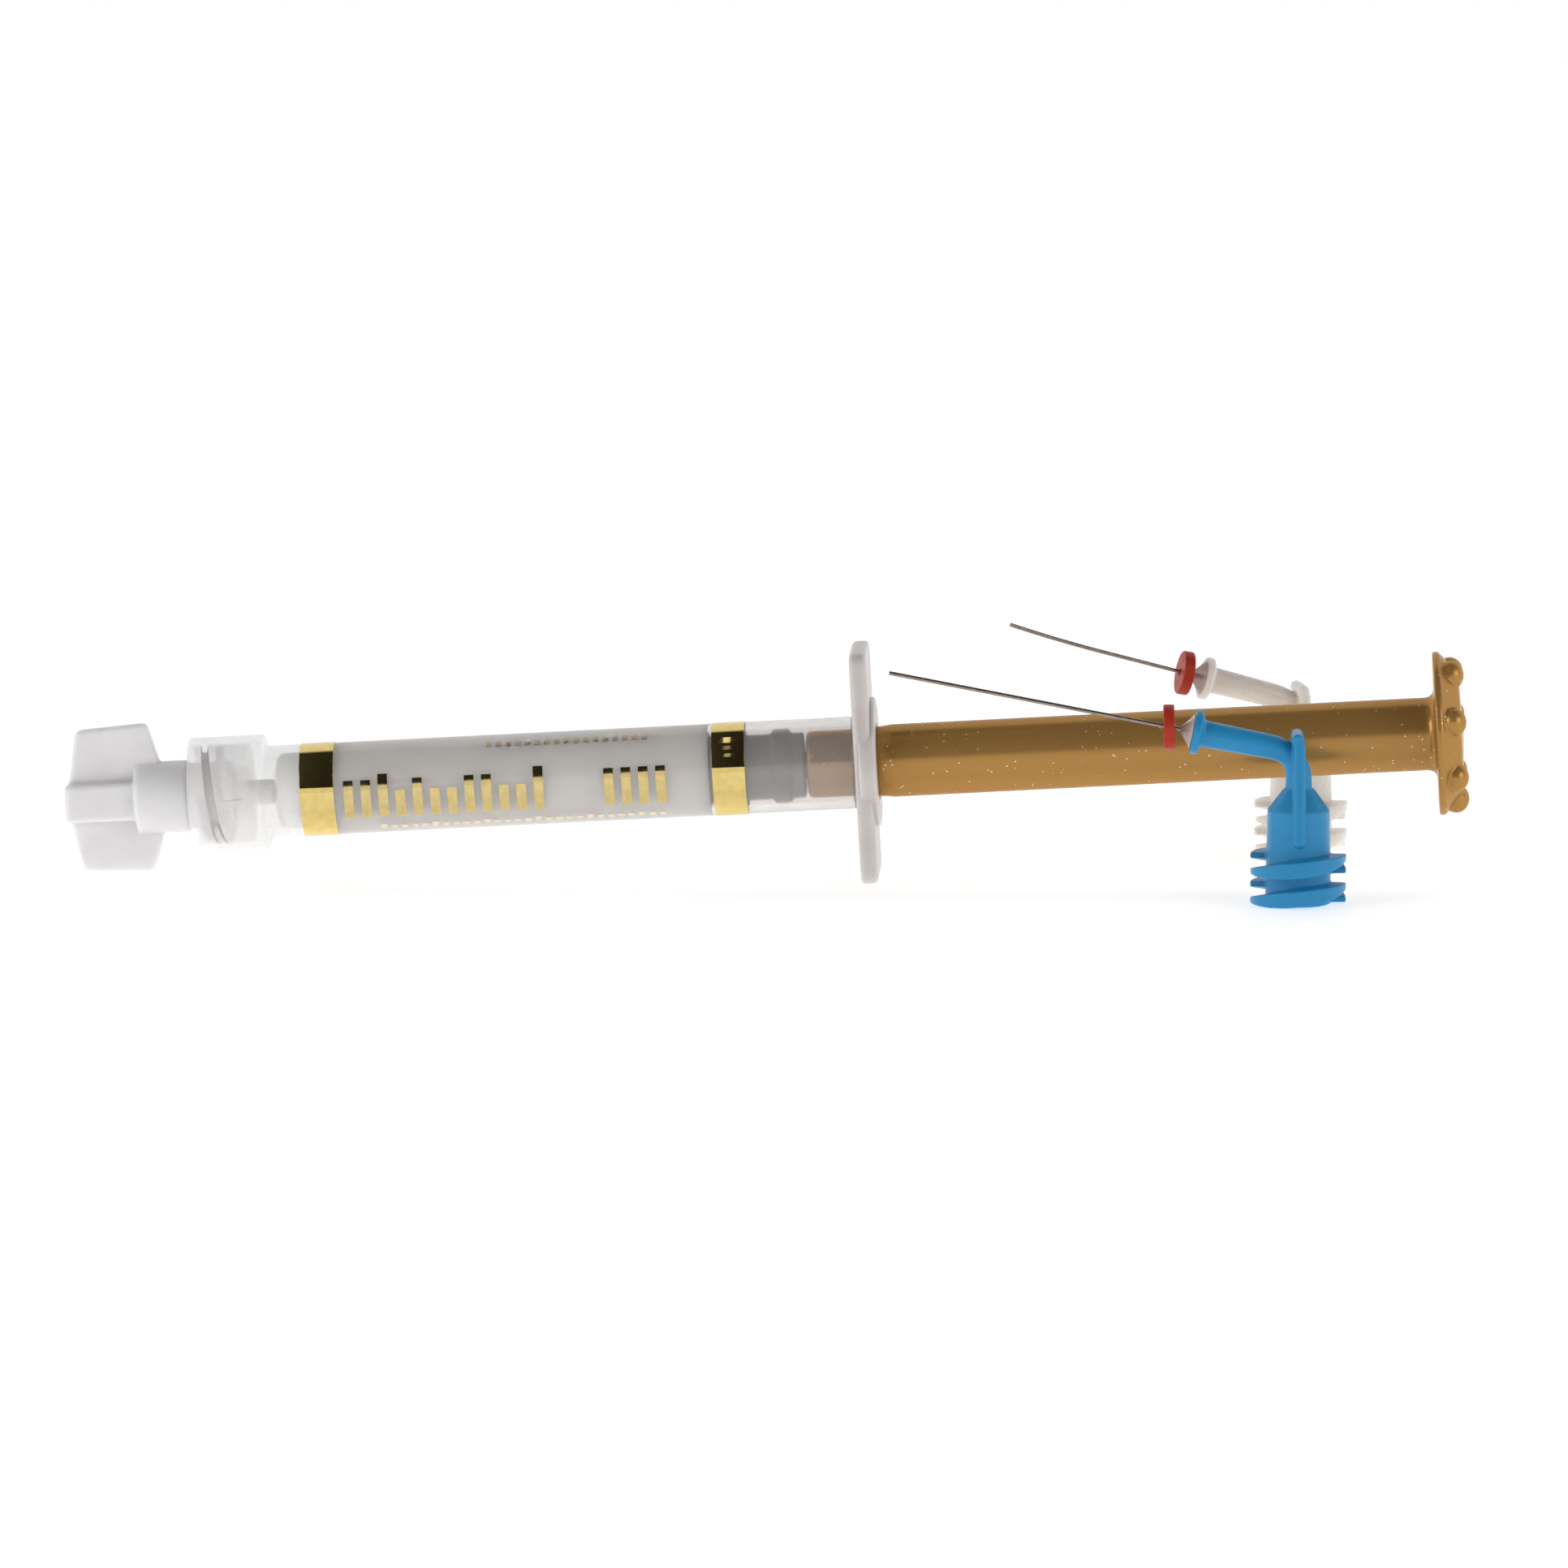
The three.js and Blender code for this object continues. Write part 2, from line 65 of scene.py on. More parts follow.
FLANGE_START, FLANGE_END, FLANGE_HALF, FLANGE_DEEP, FLANGE_CORNER = 65.2, 66.6, 9.55, 9.4, 1.3
BOSS_R, BOSS_END, BOSS_STEP, BOSS_INSET = 5.3, 67.0, 0.6, 0.4
FRONT_BAND, REAR_BAND = (19.6, 22.4), (53.5, 56.2)
LUER_CLEAR = 2.8        # beyond this radius only the thread stands inside the collar
MILKY_END = 20.2        # the thick nozzle end of the moulding looks milky up to here, under the front band
STOPPER_FRONT, STOPPER_BACK, STOPPER_R = 52.2, 61.0, 2.675
STOPPER_RIBS, RIB_SLOPE, KNOB_GAP = ((53.6, 54.6), (58.6, 59.7)), 0.35, 0.04
PASTE_RING_END = 53.2   # the paste reaches round the stopper's front as far as its first rib
ROD_FRONT, ROD_NOSE_R, ROD_NOSE_END, ROD_CONE_END, ROD_R = 61.2, 2.75, 66.2, 68.2, 2.985
KNOB_R, NECK_R, KNOB_LENGTH, NECK_LENGTH = 1.7, 1.1, 1.6, 1.4
PAD_START, PAD_R, PAD_RIM, PAD_DOME_R, PAD_DOME_END, PAD_BUMP_END = 112.7, 6.7, 0.5, 4.9, 115.0, 115.2
PAD_FILLET_START, PAD_FILLET_R = 110.9, 1.2
PAD_BUMPS, PAD_FIRST_BUMP, PAD_BUMP_RING, PAD_BUMP_R, PAD_BUMP_FLAT = 7, 17.6, 5.4, 1.2, 0.9
WET = 0.02              # how far soft contents press into the bore, so that they read as touching it

BAND_THICK, BAND_GAP = 0.06, 0.005
MARK_THICK, MARK_GAP = 0.03, 0.004
BAR_PITCH, BAR_STROKE, BAR_FOOT = 1.42, 0.8, -32
LOW, MIDDLE, HIGH = 3, 17, 24       # how far round the barrel a bar's top is, in degrees up from the front
BAR_ROWS = (
    (23.2, (MIDDLE, MIDDLE, HIGH, LOW, MIDDLE, LOW, LOW, MIDDLE, MIDDLE, LOW, LOW, HIGH)),
    (44.6, (MIDDLE, MIDDLE, MIDDLE, MIDDLE)),
)

HUB_FOOT_R, HUB_SHOULDER_R, HUB_BODY_TOP, HUB_NECK_TOP, HUB_NECK_R = 2.675, 2.53, 7.65, 9.4, 1.2
HUB_SOCKET, HUB_MOUTH_R = 7.2, 2.2
HUB_RIDGE_PAIRS, HUB_RIDGE_START, HUB_RIDGE_STEP = 2, 0.27, 2.35
FIN_BOTTOM, FIN_TOP, FIN_HALF, FIN_TOP_HALF, FIN_THICK = 4.9, 13.45, 3.1, 1.75, 0.96
KNOB_TOP, FIN_KNOB_R, FIN_KNOB_OUT = 14.03, 0.52, 0.14
ARM_HEIGHT, ARM_R, ELBOW_R, ARM_LENGTH, ARM_BEND = 12.35, 1.12, 0.92, 8.2, 2.4
ARM_BEND_STEPS, ARM_STEPS = 12, 6
DISC_R, DISC_THICK, CONE_R, CONE_LENGTH, CONE_NOSE_R = 1.785, 0.55, 1.5, 1.0, 0.24
CANNULA_R, CANNULA_BORE_R, CANNULA_SUNK, CANNULA_STRAIGHT, CANNULA_STEPS = 0.1645, 0.08, 2.5, 9, 40
STOP_R, STOP_THICK, STOP_HOLE_R = 1.825, 0.9, 0.3

# Thread ridges: radius at the root and at the crest, width at the root and at the crest.
LUG_R = 3.9
CAP_LUG, CAP_LUG_START = (CAP_SLEEVE_R - 0.3, LUG_R, 1.1, 0.75), 11.0
COLLAR_THREAD, COLLAR_THREAD_START = (COLLAR_INNER_R + 0.25, 3.5, 1.0, 0.65), 11.25
HUB_RIDGE = (HUB_FOOT_R - 0.35, LUG_R - 0.01, 1.5, 1.32)

# What differs between the tips: cannula's length, its curl in degrees, and how its depth stop sits.
TIPS = {
    "blue": {"needle": 25, "curl": 0, "stop_ahead": 1.5, "stop_lean": 12},
    "white": {"needle": 17, "curl": 4, "stop_ahead": 1.1, "stop_lean": 4},
}


# ------------------------------------------------------------------ frames taken from the record

def joint(name):
    return next(j for j in frame["joints"] if j["name"] == name)


def frame_matrix(x, y, z, origin):
    """Millimetres along three unit directions from an origin in metres, as a matrix to the row frame."""
    turn = Matrix((x, y, z)).transposed().to_4x4()
    return Matrix.Translation(origin) @ turn @ Matrix.Scale(MM, 4)


# The syringe's own frame: x away from the viewer, y up, z along the axis from the cap to the thumb pad.
ALONG = -Vector(joint("plunger_slide")["axis"]).normalized()
AWAY = Vector((0, 1, 0))
SYRINGE_ORIGIN = Vector(joint("cap_unscrew")["pos_m"]) - ALONG * UNSCREW_POINT * MM
SYRINGE = frame_matrix(AWAY, ALONG.cross(AWAY), ALONG, SYRINGE_ORIGIN)


def tip_frames(name):
    """A tip's upright frame (x outwards, y sideways, z up), and its slope in radians."""
    out = Vector(joint(name + "_stop_slide")["axis"]).normalized()
    slope = math.asin(out.z)
    flat = Vector((out.x, out.y, 0)).normalized()
    mount = next(m for m in frame["record"]["mounts"] if m["name"] == name + "_hub_foot")
    foot = Vector(mount["pos_m"]) + Vector((0, FOOT_POINT_OUT * MM, 0))
    return frame_matrix(flat, Vector((0, 0, 1)).cross(flat), Vector((0, 0, 1)), foot), slope


# ------------------------------------------------------------------ mesh helpers

FINE_SIDES = 128
# Stands a plate up, so that its outline lies in the y-z plane.
EDGE_ON = Matrix(((0, 0, 1, 0), (1, 0, 0, 0), (0, 1, 0, 0), (0, 0, 0, 1)))


def rounded(points, closed=True):
    """Outline points (a, b) or (a, b, radius of the round at that corner), with the rounds put in."""
    outline, steps = [], 5
    for i, point in enumerate(points):
        radius = point[2] if len(point) > 2 else 0
        here = Vector(point[:2])
        if radius == 0 or (not closed and i in (0, len(points) - 1)):
            outline.append(here)
            continue
        before = Vector(points[i - 1][:2]) - here
        after = Vector(points[(i + 1) % len(points)][:2]) - here
        half_angle = before.angle(after) / 2
        reach = min(radius / math.tan(half_angle), before.length * 0.49, after.length * 0.49)
        start, end = here + before.normalized() * reach, here + after.normalized() * reach
        for k in range(steps + 1):
            t = k / steps
            outline.append(start * (1 - t) ** 2 + here * 2 * t * (1 - t) + end * t * t)
    return outline


def add_rings(bm, rings, closed_rings=True, close_ends=False, cap_ends=False):
    """Faces between successive rings of vertices. A ring of one vertex is a pole."""
    pairs = list(zip(rings, rings[1:]))
    if close_ends:
        pairs.append((rings[-1], rings[0]))
    for a, b in pairs:
        count = max(len(a), len(b))
        for i in range(count if closed_rings else count - 1):
            j = (i + 1) % count
            corners = [a[i % len(a)], a[j % len(a)], b[j % len(b)], b[i % len(b)]]
            unique = list(dict.fromkeys(corners))
            if len(unique) > 2:
                bm.faces.new(unique)
    if cap_ends:
        bm.faces.new(rings[0])
        bm.faces.new(list(reversed(rings[-1])))


def turned(bm, points, sides=96, place=Matrix()):
    """Turns an outline of (radius, z) points round the z axis. It ends on the axis or closes on itself."""
    on_axis = points[0][0] == 0 and points[-1][0] == 0
    rings = []
    for radius, z in rounded(points, closed=not on_axis):
        if radius < 1e-6:
            rings.append([bm.verts.new(place @ Vector((0, 0, z)))])
            continue
        turns = [2 * math.pi * i / sides for i in range(sides)]
        rings.append([bm.verts.new(place @ Vector((radius * math.cos(t), radius * math.sin(t), z)))
                      for t in turns])
    add_rings(bm, rings, close_ends=not on_axis)


def plate(bm, points, thick, edge, place=Matrix()):
    """A flat outline in x and y, thick along z, with its edges rounded over by edge."""
    outline = rounded(points)
    middle = sum(outline, Vector((0, 0))) / len(outline)
    layers, steps = [], 4
    for side in (-1, 1):
        for k in range(steps + 1):
            turn = math.pi / 2 * (k / steps if side < 0 else 1 - k / steps)
            inset = edge * (1 - math.sin(turn))
            layers.append((inset, side * (thick / 2 - edge * (1 - math.cos(turn)))))
    rings = []
    for inset, z in layers:
        ring = []
        for i, point in enumerate(outline):
            run = outline[(i + 1) % len(outline)] - outline[i - 1]
            inwards = Vector((-run.y, run.x)).normalized()
            if inwards.dot(middle - point) < 0:
                inwards.negate()
            ring.append(bm.verts.new(place @ (point + inwards * inset).to_3d()
                                     + place.to_3x3() @ Vector((0, 0, z))))
        rings.append(ring)
    add_rings(bm, rings, cap_ends=True)


def ridge(bm, shape, start, from_turn, turns, lens=0.4, steps=60):
    """A right-hand thread ridge along z. Its width swells from the share lens to the whole and back."""
    root, crest, wide, narrow = shape
    section = [(root, wide / 2), (crest, narrow / 2), (crest, -narrow / 2), (root, -wide / 2)]
    rings = []
    for k in range(steps + 1):
        share = k / steps
        swell = lens + (1 - lens) * math.sin(math.pi * share)
        turn = 2 * math.pi * (from_turn + share * turns)
        z = start + share * turns * LEAD
        rings.append([bm.verts.new((radius * math.cos(turn), radius * math.sin(turn), z + half * swell))
                      for radius, half in section])
    add_rings(bm, rings, cap_ends=True)


def pipe(bm, path, radii, bore=0, sides=20):
    """A round rod or pipe along points that lie in the x-z plane, with a radius for each point."""
    rings = []
    order = [(i, radii[i]) for i in range(len(path))]
    if bore:
        order += [(i, bore) for i in reversed(range(len(path)))]
    for i, radius in order:
        run = (path[min(i + 1, len(path) - 1)] - path[max(i - 1, 0)]).normalized()
        across = Vector((0, 1, 0))
        other = run.cross(across)
        rings.append([bm.verts.new(path[i] + radius * (math.cos(t) * across + math.sin(t) * other))
                      for t in (2 * math.pi * k / sides for k in range(sides))])
    add_rings(bm, rings, close_ends=bool(bore), cap_ends=not bore)


def finished(bm, place, remesh=0, smooth=0, cut=None, join=None):
    """The mesh in millimetres, fused, cut and smoothed where asked, moved to the row frame in metres."""
    bmesh.ops.recalc_face_normals(bm, faces=bm.faces)
    mesh = bpy.data.meshes.new("work")
    bm.to_mesh(mesh)
    bm.free()
    work = bpy.data.objects.new("work", mesh)
    bpy.context.scene.collection.objects.link(work)
    helpers = []
    for other, how in ((join, "UNION"), (cut, "DIFFERENCE")):
        if other is None:
            continue
        bmesh.ops.recalc_face_normals(other, faces=other.faces)
        tool_mesh = bpy.data.meshes.new("tool")
        other.to_mesh(tool_mesh)
        other.free()
        tool = bpy.data.objects.new("tool", tool_mesh)
        bpy.context.scene.collection.objects.link(tool)
        helpers.append(tool)
        if how == "UNION" or not remesh:
            change = work.modifiers.new(how.lower(), "BOOLEAN")
            change.object, change.operation, change.solver = tool, how, "EXACT"
    if remesh:
        fuse = work.modifiers.new("fuse", "REMESH")
        fuse.mode, fuse.voxel_size = "VOXEL", remesh
        if smooth:
            soften = work.modifiers.new("soften", "SMOOTH")
            soften.factor, soften.iterations = 0.5, smooth
        if cut is not None:
            change = work.modifiers.new("difference", "BOOLEAN")
            change.object, change.operation, change.solver = helpers[-1], "DIFFERENCE", "EXACT"
    bpy.context.view_layer.update()
    seen = work.evaluated_get(bpy.context.evaluated_depsgraph_get())
    result = bpy.data.meshes.new_from_object(seen)
    for used in [work, *helpers]:
        bpy.data.objects.remove(used)
    result.transform(place)
    return result


def piece(name, mesh, finish, body, replaces=(), sharp=35):
    """A finished piece: its mesh, its material, and the CAD body and nodes it belongs to."""
    mesh.name = name
    for polygon in mesh.polygons:
        polygon.use_smooth = True
    if sharp:
        mesh.set_sharp_from_angle(angle=math.radians(sharp))
    mesh.materials.clear()
    mesh.materials.append(finish)
    made = bpy.data.objects.new(name, mesh)
    bpy.context.scene.collection.objects.link(made)
    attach(made, body)
    if replaces:
        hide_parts(*replaces)
    return made


# ------------------------------------------------------------------ materials

def material(name, colour, roughness, **settings):
    """A Principled material. Settings are its sockets' names with _ for spaces."""
    made = bpy.data.materials.new(name)
    made.use_nodes = True
    shader = made.node_tree.nodes["Principled BSDF"]
    shader.inputs["Base Color"].default_value = (*colour, 1)
    shader.inputs["Roughness"].default_value = roughness
    for key, value in settings.items():
        shader.inputs[key.replace("_", " ")].default_value = value
    return made


def node(made, kind, **settings):
    added = made.node_tree.nodes.new(kind)
    for key, value in settings.items():
        if hasattr(added, key):
            setattr(added, key, value)
        else:
            added.inputs[key.replace("_", " ")].default_value = value
    return added


def link(made, output, socket):
    made.node_tree.links.new(output, socket)


def shader_of(made):
    return made.node_tree.nodes["Principled BSDF"]


def noise(made, size, detail=2.0):
    """Noise with grains about size millimetres across, fixed to the object."""
    place = node(made, "ShaderNodeTexCoord")
    scaled = node(made, "ShaderNodeMapping", Scale=[1 / (size * MM)] * 3)
    grain = node(made, "ShaderNodeTexNoise", Scale=1.0, Detail=detail)
    link(made, place.outputs["Object"], scaled.inputs["Vector"])
    link(made, scaled.outputs["Vector"], grain.inputs["Vector"])
    return grain.outputs["Fac"]


def blotch(made, low, high, size, detail=3.0):
    """Base colour that wanders between two colours."""
    ramp = node(made, "ShaderNodeValToRGB")
    ramp.color_ramp.elements[0].color = (*low, 1)
    ramp.color_ramp.elements[1].color = (*high, 1)
    ramp.color_ramp.elements[0].position = 0.35
    ramp.color_ramp.elements[1].position = 0.65
    link(made, noise(made, size, detail), ramp.inputs["Fac"])
    link(made, ramp.outputs["Color"], shader_of(made).inputs["Base Color"])


def vary_roughness(made, low, high, size):
    spread = node(made, "ShaderNodeMapRange")
    spread.inputs["From Min"].default_value = 0.3
    spread.inputs["From Max"].default_value = 0.7
    spread.inputs["To Min"].default_value = low
    spread.inputs["To Max"].default_value = high
    link(made, noise(made, size), spread.inputs["Value"])
    link(made, spread.outputs["Result"], shader_of(made).inputs["Roughness"])


def bump(made, size, depth, detail=2.0):
    """Fine relief, depth in millimetres."""
    relief = node(made, "ShaderNodeBump", Strength=1.0, Distance=depth * MM)
    link(made, noise(made, size, detail), relief.inputs["Height"])
    link(made, relief.outputs["Normal"], shader_of(made).inputs["Normal"])


def milky_plastic(name, low, high, depth, roughness=0.32, soak=1.0, shine=0.5):
    """Moulded polypropylene: light soaks in a little, and the skin has a soft gloss."""
    made = material(name, low, roughness, Subsurface_Weight=soak, Subsurface_Scale=depth * MM,
                    Specular_IOR_Level=shine,
                    Subsurface_Radius=(1.0, 0.95, 0.9), Subsurface_Anisotropy=0.3, IOR=1.49)
    blotch(made, low, high, 2.2)
    vary_roughness(made, roughness - 0.06, roughness + 0.08, 0.8)
    bump(made, 0.25, 0.004)
    return made


def clear_plastic(name, colour, roughness, clearness):
    """See-through plastic, a little frosted by its mould."""
    made = material(name, colour, roughness, Transmission_Weight=clearness, IOR=1.45)
    blotch(made, colour, [min(1, c * 1.03) for c in colour], 1.5)
    vary_roughness(made, roughness * 0.8, roughness * 1.25, 0.9)
    bump(made, 0.5, 0.004)
    return made


def milky_film(name, colour, cover):
    """Thin milky plastic: each skin of it hides a share of what lies behind, without bending the light."""
    made = material(name, colour, 0.3, Alpha=cover, IOR=1.45)
    blotch(made, colour, [min(1, c * 1.02) for c in colour], 1.5)
    vary_roughness(made, 0.24, 0.38, 0.9)
    bump(made, 0.5, 0.004)
    return made


def mica_bronze():
    """Bronze pearl plastic with fine mica flakes. A few of the flakes are painted near white in the base
    colour, as painted glints that show under any light.
    """
    made = material("mica_bronze", (0.3, 0.18, 0.06), 0.24, Metallic=0.45, Coat_Weight=0.05,
                    Coat_Roughness=0.06, IOR=1.35, Specular_IOR_Level=0.15,
                    Specular_Tint=(0.8, 0.6, 0.4, 1))
    base = node(made, "ShaderNodeValToRGB")
    base.color_ramp.elements[0].color = (0.42, 0.225, 0.064, 1)
    base.color_ramp.elements[1].color = (0.45, 0.245, 0.074, 1)
    link(made, noise(made, 0.9, 4.0), base.inputs["Fac"])
    place = node(made, "ShaderNodeTexCoord")
    flakes = node(made, "ShaderNodeTexVoronoi", Scale=1 / (0.14 * MM))
    link(made, place.outputs["Object"], flakes.inputs["Vector"])
    chosen = node(made, "ShaderNodeSeparateColor")
    link(made, flakes.outputs["Color"], chosen.inputs["Color"])
    rare = node(made, "ShaderNodeMath", operation="GREATER_THAN")
    rare.inputs[1].default_value = 0.988
    link(made, chosen.outputs["Red"], rare.inputs[0])
    close = node(made, "ShaderNodeMath", operation="LESS_THAN")
    close.inputs[1].default_value = 0.42
    link(made, flakes.outputs["Distance"], close.inputs[0])
    # Painted glint: a few rare flake cells get a near-white base colour.
    flake_glint = node(made, "ShaderNodeMath", operation="MULTIPLY")
    link(made, rare.outputs[0], flake_glint.inputs[0])
    link(made, close.outputs[0], flake_glint.inputs[1])
    colour = node(made, "ShaderNodeMix", data_type="RGBA")
    link(made, flake_glint.outputs[0], colour.inputs["Factor"])
    link(made, base.outputs["Color"], colour.inputs[6])
    colour.inputs[7].default_value = (1.0, 0.95, 0.82, 1)
    link(made, colour.outputs[2], shader_of(made).inputs["Base Color"])
    vary_roughness(made, 0.21, 0.27, 0.7)
    bump(made, 0.35, 0.003, 3.0)
    return made


def foil(name, colour, roughness, wave, wave_depth):
    """Hot-stamped metal foil, which follows the slight waves of the plastic under it."""
    made = material(name, colour, roughness, Metallic=1.0)
    blotch(made, colour, [c * 0.9 for c in colour], 0.6)
    vary_roughness(made, roughness * 0.6, roughness * 1.6, 0.35)
    bump(made, wave, wave_depth, 1.0)
    return made


def steel(name, colour):
    """Drawn stainless tube with fine marks."""
    made = material(name, colour, 0.3, Metallic=1.0)
    blotch(made, colour, [c * 0.75 for c in colour], 0.5, 5.0)
    vary_roughness(made, 0.2, 0.42, 0.3)
    bump(made, 0.12, 0.002)
    return made


def rubber(name, low, high, roughness, depth=0.3, soak=0.35, shine=0.5):
    made = material(name, low, roughness, Subsurface_Weight=soak, Subsurface_Scale=depth * MM,
                    Specular_IOR_Level=shine, Subsurface_Radius=(1.0, 0.6, 0.5))
    blotch(made, low, high, 0.8, 4.0)
    vary_roughness(made, roughness - 0.08, roughness + 0.1, 0.5)
    bump(made, 0.18, 0.006, 3.0)
    return made


CAP_PLASTIC = milky_plastic("cap_polypropylene", (0.76, 0.745, 0.75), (0.8, 0.79, 0.795), 0.9, 0.36)
BARREL_PLASTIC = clear_plastic("frosted_barrel", (0.96, 0.93, 0.91), 0.11, 0.87)
COLLAR_PLASTIC = milky_film("milky_collar", (0.94, 0.93, 0.925), 0.36)
# Darker grey copy of the moulding's milky plastic. The milkiness is real, but the grey is painted shade,
# for the flange's face seen edge-on and for the collar's thread seen as streaks.
SHADED_GREY_PLASTIC = milky_plastic("milky_grey_painted_shade", (0.6, 0.565, 0.55), (0.63, 0.6, 0.585), 0.9, 0.34)
PASTE = milky_plastic("paste", (0.91, 0.895, 0.865), (0.95, 0.935, 0.91), 0.5, 0.55)
STOPPER_RUBBER = rubber("grey_rubber", (0.23, 0.225, 0.23), (0.265, 0.26, 0.265), 0.5)
BRONZE = mica_bronze()
GOLD = foil("gold_foil", (0.78, 0.6, 0.22), 0.05, 3.0, 0.003)
GOLD_WAVY = foil("gold_foil_wavy", (0.78, 0.6, 0.22), 0.05, 1.6, 0.002)
PRINT_GOLD = foil("gold_print", (0.7, 0.55, 0.24), 0.1, 1.5, 0.004)
PRINT_FINE = foil("fine_print", (0.8, 0.7, 0.55), 0.35, 1.5, 0.01)
BLUE = milky_plastic("blue_polypropylene", (0.02, 0.25, 0.5), (0.024, 0.265, 0.52), 0.3, 0.34, 0.2, 0.28)
WHITE = milky_plastic("white_polypropylene", (0.73, 0.685, 0.63), (0.77, 0.73, 0.68), 1.4, 0.3)
CONE_CLEAR = clear_plastic("nose_adhesive", (0.9, 0.84, 0.81), 0.12, 0.5)
STEEL = steel("cannula_steel", (0.36, 0.3, 0.26))
SILICONE = rubber("red_silicone", (0.36, 0.025, 0.008), (0.42, 0.032, 0.011), 0.45, 0.15, 0.12, 0.25)


# ------------------------------------------------------------------ syringe

def luer_r(z):
    return NOZZLE_R + LUER_TAPER * (z - NOZZLE_TIP)


def build_cap():
    """The winged cap: two wings, a spine across them, a stem, and a sleeve with its thread lug."""
    bm = bmesh.new()
    inner = CAP_SPINE_HIGH / 2
    side = [(inner, 0.25, 0.2), (CAP_WING_OUTER_START, CAP_WING_START, 0.7),
            (CAP_WING_OUTER, CAP_WING_END, 0.6), (CAP_STEM_R, CAP_WING_ROOT, 0.8)]
    wings = [*side, *[(-v, u, r) for v, u, r in reversed(side)]]
    plate(bm, wings, CAP_WING_THICK, 0.3, EDGE_ON)
    spine = [(-inner, 0, 0.35), (inner, 0, 0.35), (inner, CAP_SPINE_END + 1, 0.1),
             (-inner, CAP_SPINE_END + 1, 0.1)]
    plate(bm, spine, CAP_SPINE_DEEP, 0.35, EDGE_ON)
    stem_start = CAP_SPINE_END + 0.3
    turned(bm, [(0, stem_start), (CAP_STEM_R, stem_start, 0.5), (CAP_STEM_R, CAP_STEM_END, 0.3),
                (CAP_SLEEVE_R, CAP_STEM_END + 0.05, 0.1), (CAP_SLEEVE_R, CAP_MOUTH, 0.15), (0, CAP_MOUTH)])
    ridge(bm, CAP_LUG, CAP_LUG_START, -0.5, 1.0)
    socket = bmesh.new()
    turned(socket, [(0, CAP_SOCKET_FLOOR), (luer_r(CAP_SOCKET_FLOOR) + SOCKET_GAP, CAP_SOCKET_FLOOR),
                    (luer_r(CAP_MOUTH) + SOCKET_GAP, CAP_MOUTH + 1), (0, CAP_MOUTH + 1)])
    mesh = finished(bm, SYRINGE, remesh=0.1, smooth=6, cut=socket)
    piece("cap_winged", mesh, CAP_PLASTIC, "cap", ["cap"], 0)
    plug = bmesh.new()
    plug_r, plug_start = luer_r(CAP_SOCKET_FLOOR) - PLUG_GAP, CAP_SOCKET_FLOOR + 2 * PLUG_GAP
    turned(plug, [(0, plug_start), (plug_r, plug_start, 0.2), (plug_r, NOZZLE_TIP - 0.08, 0.3),
                  (0, NOZZLE_TIP - 0.16)], 48)
    piece("cap_plug_of_paste", finished(plug, SYRINGE), PASTE, "cap_plug", ["cap_paste_plug"])


def build_barrel():
    """One moulding: nozzle, threaded collar, tube and finger flange with its boss."""
    bm = bmesh.new()
    step_r, boss_start = BARREL_R + BOSS_STEP, FLANGE_START + BOSS_INSET
    turned(bm, [
        (NOZZLE_BORE_R, NOZZLE_TIP, 0.1), (NOZZLE_R, NOZZLE_TIP, 0.12),
        (luer_r(COLLAR_FLOOR), COLLAR_FLOOR, 0.2), (COLLAR_INNER_R, COLLAR_FLOOR, 0.25),
        (COLLAR_INNER_R, COLLAR_START, 0.15), (COLLAR_R, COLLAR_START, 0.2), (COLLAR_R, COLLAR_END, 0.35),
        (BARREL_R, COLLAR_END, 0.2), (BARREL_R, MILKY_END), (BARREL_R, FLANGE_START, 0.6),
        (step_r, FLANGE_START, 0.05), (step_r, boss_start, 0.05), (BOSS_R, boss_start, 0.05),
        (BOSS_R, BOSS_END, 0.25), (BORE_R, BOSS_END, 0.35), (BORE_R, MILKY_END), (BORE_R, BORE_FLOOR, 0.5),
        (NOZZLE_BORE_R, NOZZLE_BORE_END, 0.2),
    ], FINE_SIDES)
    flange = bmesh.new()
    half, deep, corner = FLANGE_HALF, FLANGE_DEEP / 2, FLANGE_CORNER
    outline = [(-deep, -half, corner), (deep, -half, corner), (deep, half, corner), (-deep, half, corner)]
    middle = Matrix.Translation((0, 0, (FLANGE_START + FLANGE_END) / 2))
    plate(flange, outline, FLANGE_END - FLANGE_START, 0.35, middle)
    bore = bmesh.new()
    bore_r = (BORE_R + BARREL_R) / 2
    turned(bore, [(0, FLANGE_START - 1), (bore_r, FLANGE_START - 1), (bore_r, BOSS_END + 1),
                  (0, BOSS_END + 1)], FINE_SIDES)
    holed = finished(flange, Matrix(), cut=bore)
    ring = bmesh.new()
    ring.from_mesh(holed)
    ridge(ring, COLLAR_THREAD, COLLAR_THREAD_START, 0.1, 1.2)
    ridge(ring, COLLAR_THREAD, COLLAR_THREAD_START + LEAD / 2, 0.6, 0.9)
    mesh = finished(bm, SYRINGE, join=ring)
    moulding = piece("barrel_moulding", mesh, BARREL_PLASTIC, "barrel", ["barrel"], 40)
    moulding.data.materials.append(SHADED_GREY_PLASTIC)
    moulding.data.materials.append(COLLAR_PLASTIC)
    shaded_grey_slot, collar_slot = 1, 2
    to_syringe = SYRINGE.inverted()
    # The flange and the thread inside the collar take the darker grey copy, which is painted shade. The
    # rest of the nozzle end takes the milky collar film.
    for polygon in moulding.data.polygons:
        centre = to_syringe @ polygon.center
        if centre.z > FLANGE_START - 0.02 and centre.xy.length > BARREL_R + 0.1:
            polygon.material_index = shaded_grey_slot
        elif centre.z < MILKY_END:
            in_gap = LUER_CLEAR < centre.xy.length < COLLAR_INNER_R - 0.05
            is_thread = in_gap and centre.z < COLLAR_FLOOR - 0.1
            polygon.material_index = shaded_grey_slot if is_thread else collar_slot


